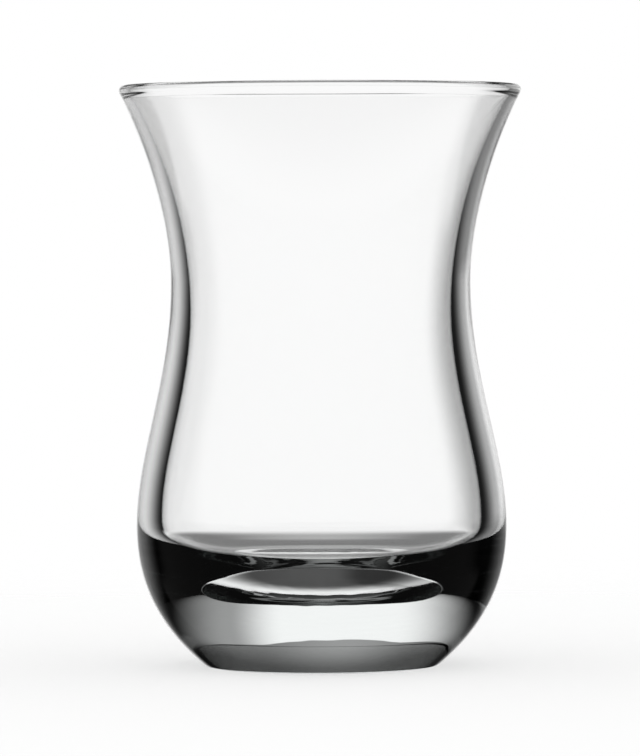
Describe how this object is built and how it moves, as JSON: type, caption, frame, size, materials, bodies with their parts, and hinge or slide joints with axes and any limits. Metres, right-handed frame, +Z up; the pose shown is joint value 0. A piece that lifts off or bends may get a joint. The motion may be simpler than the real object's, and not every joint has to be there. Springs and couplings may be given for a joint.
{
  "type": "tea glass",
  "caption": "Thin-waisted clear glass for hot tea, with a flared and beaded rim, a rounded belly and a heavy solid base; it stands free on a narrow foot.",
  "frame": {"origin": "centre of the foot, on the surface that the glass stands on", "axes": "+Z up along the axis that the glass is turned about"},
  "size_m": [0.0608, 0.0608, 0.088],
  "materials": {
    "clear_glass": "clear, colourless, fire-polished"
  },
  "bodies": {
    "root": {"glass_body": "clear_glass"}
  },
  "joints": []
}
